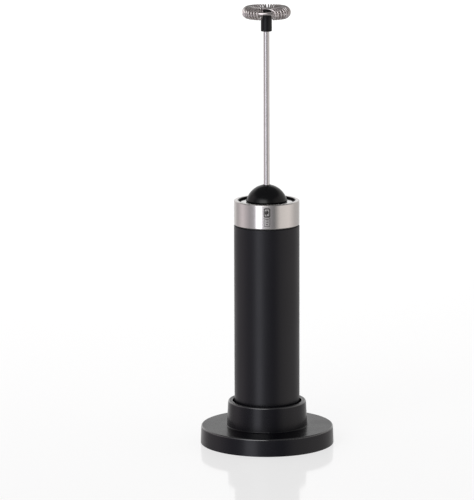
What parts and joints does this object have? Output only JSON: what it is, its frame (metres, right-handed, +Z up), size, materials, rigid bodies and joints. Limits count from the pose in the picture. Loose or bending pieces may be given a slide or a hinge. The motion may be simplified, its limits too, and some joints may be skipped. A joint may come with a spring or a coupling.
{
  "type": "milk frother",
  "caption": "Battery milk frother: a dark cylindrical handle with a steel collar, black nose dome, thin shaft and coil ring whisk, standing whisk-up in a round stand.",
  "frame": {"origin": "centre of the stand's foot pad on the table, under the drive shaft", "axes": "+Z up along the drive shaft, -Y towards the front, +X to the right seen from the front"},
  "size_m": [0.068, 0.068, 0.2242],
  "materials": {
    "stand_plastic": "satin",
    "weight_steel": "matte",
    "foot_rubber": "matte",
    "tube_plastic": "satin",
    "screw_steel": "satin",
    "inner_plastic": "satin",
    "chassis_plastic": "satin",
    "button_plastic": "satin",
    "spring_steel": "satin",
    "collar_steel": "satin",
    "bezel_plastic": "gloss",
    "deck_chrome": "polished",
    "dome_plastic": "gloss",
    "bronze": "satin",
    "seal_rubber": "matte",
    "cushion_foam": "matte",
    "can_steel": "satin",
    "magnet": "matte",
    "contact_brass": "satin",
    "battery_jacket": "satin",
    "contact_steel": "satin",
    "switch_plastic": "satin",
    "lead_red": "satin",
    "lead_black": "satin",
    "core_steel": "satin",
    "copper": "gloss",
    "shaft_steel": "polished",
    "hub_plastic": "satin",
    "coil_steel": "polished"
  },
  "bodies": {
    "stand": {"stand_shell": "stand_plastic", "stand_weight": "weight_steel", "stand_bottom_plate": "stand_plastic", "stand_screws": "screw_steel", "stand_foot_pad": "foot_rubber"},
    "handle": {"handle_tube": "tube_plastic", "button_retainer": "inner_plastic", "retainer_screws": "screw_steel", "button_spring": "spring_steel"},
    "button": {"end_button": "button_plastic"},
    "head": {"collar": "collar_steel", "head_bezel": "bezel_plastic", "deck_plate": "deck_chrome", "nose_dome": "dome_plastic", "front_bush": "bronze", "shaft_seal": "seal_rubber", "dome_screws": "screw_steel", "chassis": "chassis_plastic", "sealing_ring": "seal_rubber", "motor_clamp": "can_steel", "clamp_screws": "screw_steel", "motor_cushion": "cushion_foam", "motor_can": "can_steel", "motor_magnets": "magnet", "motor_end_cap": "inner_plastic", "motor_terminals": "contact_brass", "motor_brushes": "contact_brass", "motor_front_bush": "bronze", "motor_rear_bush": "bronze", "battery_left": "battery_jacket", "battery_right": "battery_jacket", "negative_plate": "contact_steel", "negative_spring": "spring_steel", "positive_contact": "contact_steel", "link_plate": "contact_steel", "link_spring": "spring_steel", "switch_body": "switch_plastic", "switch_terminals": "contact_brass", "wire_red": "lead_red", "wire_black": "lead_black"},
    "plunger": {"switch_plunger": "inner_plastic"},
    "whisk": {"motor_arbor": "shaft_steel", "armature_core": "core_steel", "armature_windings": "copper", "commutator": "copper", "shaft_coupling": "button_plastic", "whisk_shaft": "shaft_steel", "whisk_hub": "hub_plastic", "whisk_hoop": "coil_steel", "whisk_coil": "coil_steel"}
  },
  "joints": [
    {"name": "lift_from_stand", "type": "slide", "parent": "stand", "child": "handle", "axis": [0, 0, 1], "range_m": [0, 0.03]},
    {"name": "head_pull", "type": "slide", "parent": "handle", "child": "head", "axis": [0, 0, 1], "range_m": [0, 0.105]},
    {"name": "whisk_spin", "type": "hinge", "parent": "head", "child": "whisk", "pos_m": [0, 0, 0.17], "axis": [0, 0, 1], "continuous": true},
    {"name": "button_press", "type": "slide", "parent": "handle", "child": "button", "axis": [0, 0, 1], "range_m": [0, 0.0015], "stiffness_N_per_m": 800, "springref_m": -0.002, "deforming": ["button_spring"]},
    {"name": "plunger_press", "type": "slide", "parent": "head", "child": "plunger", "axis": [0, 0, 1], "range_m": [0, 0.0015]}
  ],
  "couplings": [
    {"joint": "plunger_press", "follows": "button_press", "ratio": 1}
  ]
}
